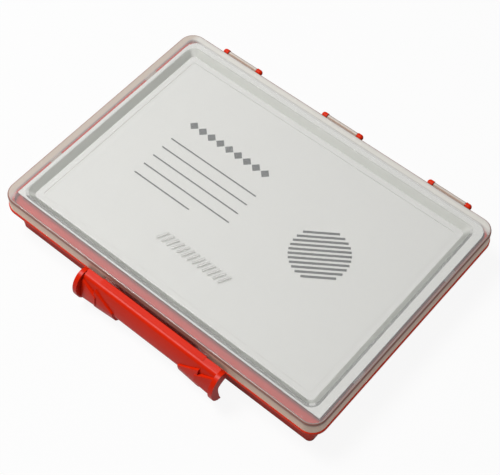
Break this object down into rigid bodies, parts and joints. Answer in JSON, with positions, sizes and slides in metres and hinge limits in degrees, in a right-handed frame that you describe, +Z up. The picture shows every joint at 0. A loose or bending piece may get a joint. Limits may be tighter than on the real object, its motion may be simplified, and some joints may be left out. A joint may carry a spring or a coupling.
{
  "type": "knife presentation case",
  "caption": "Flat red plastic case with a frosted hinged lid, a printed card under it, foam knife places inside and a swinging grip that latches the lid.",
  "frame": {"origin": "centre of the flat underside, below the centre of the lid's outline", "axes": "+X to the right along the case's length, +Y from the grip to the hinges, +Z up out of the closed lid"},
  "size_m": [0.219, 0.1764, 0.03],
  "materials": {
    "base_plastic": "moulded red, half gloss",
    "lid_plastic": "frosted, lets light through",
    "card_paper": "smooth white board",
    "foam": "fine-celled foam",
    "grip_plastic": "moulded red, glossy",
    "pin_steel": "plain wire"
  },
  "bodies": {
    "base_body": {"base": "base_plastic", "foam_tray": "foam", "foam_sheet": "foam", "hinge_pin_left": "pin_steel", "hinge_pin_middle": "pin_steel", "hinge_pin_right": "pin_steel"},
    "lid_body": {"lid": "lid_plastic", "card": "card_paper"},
    "grip_body": {"grip": "grip_plastic", "grip_pin_left": "pin_steel", "grip_pin_right": "pin_steel"}
  },
  "joints": [
    {"name": "lid_hinge", "type": "hinge", "parent": "base_body", "child": "lid_body", "pos_m": [0, 0.08395, 0.0215], "axis": [-1, 0, 0], "range_deg": [0, 180]},
    {"name": "grip_hinge", "type": "hinge", "parent": "base_body", "child": "grip_body", "pos_m": [0.0045, -0.08115, 0.0062], "axis": [1, 0, 0], "range_deg": [0, 35]}
  ]
}
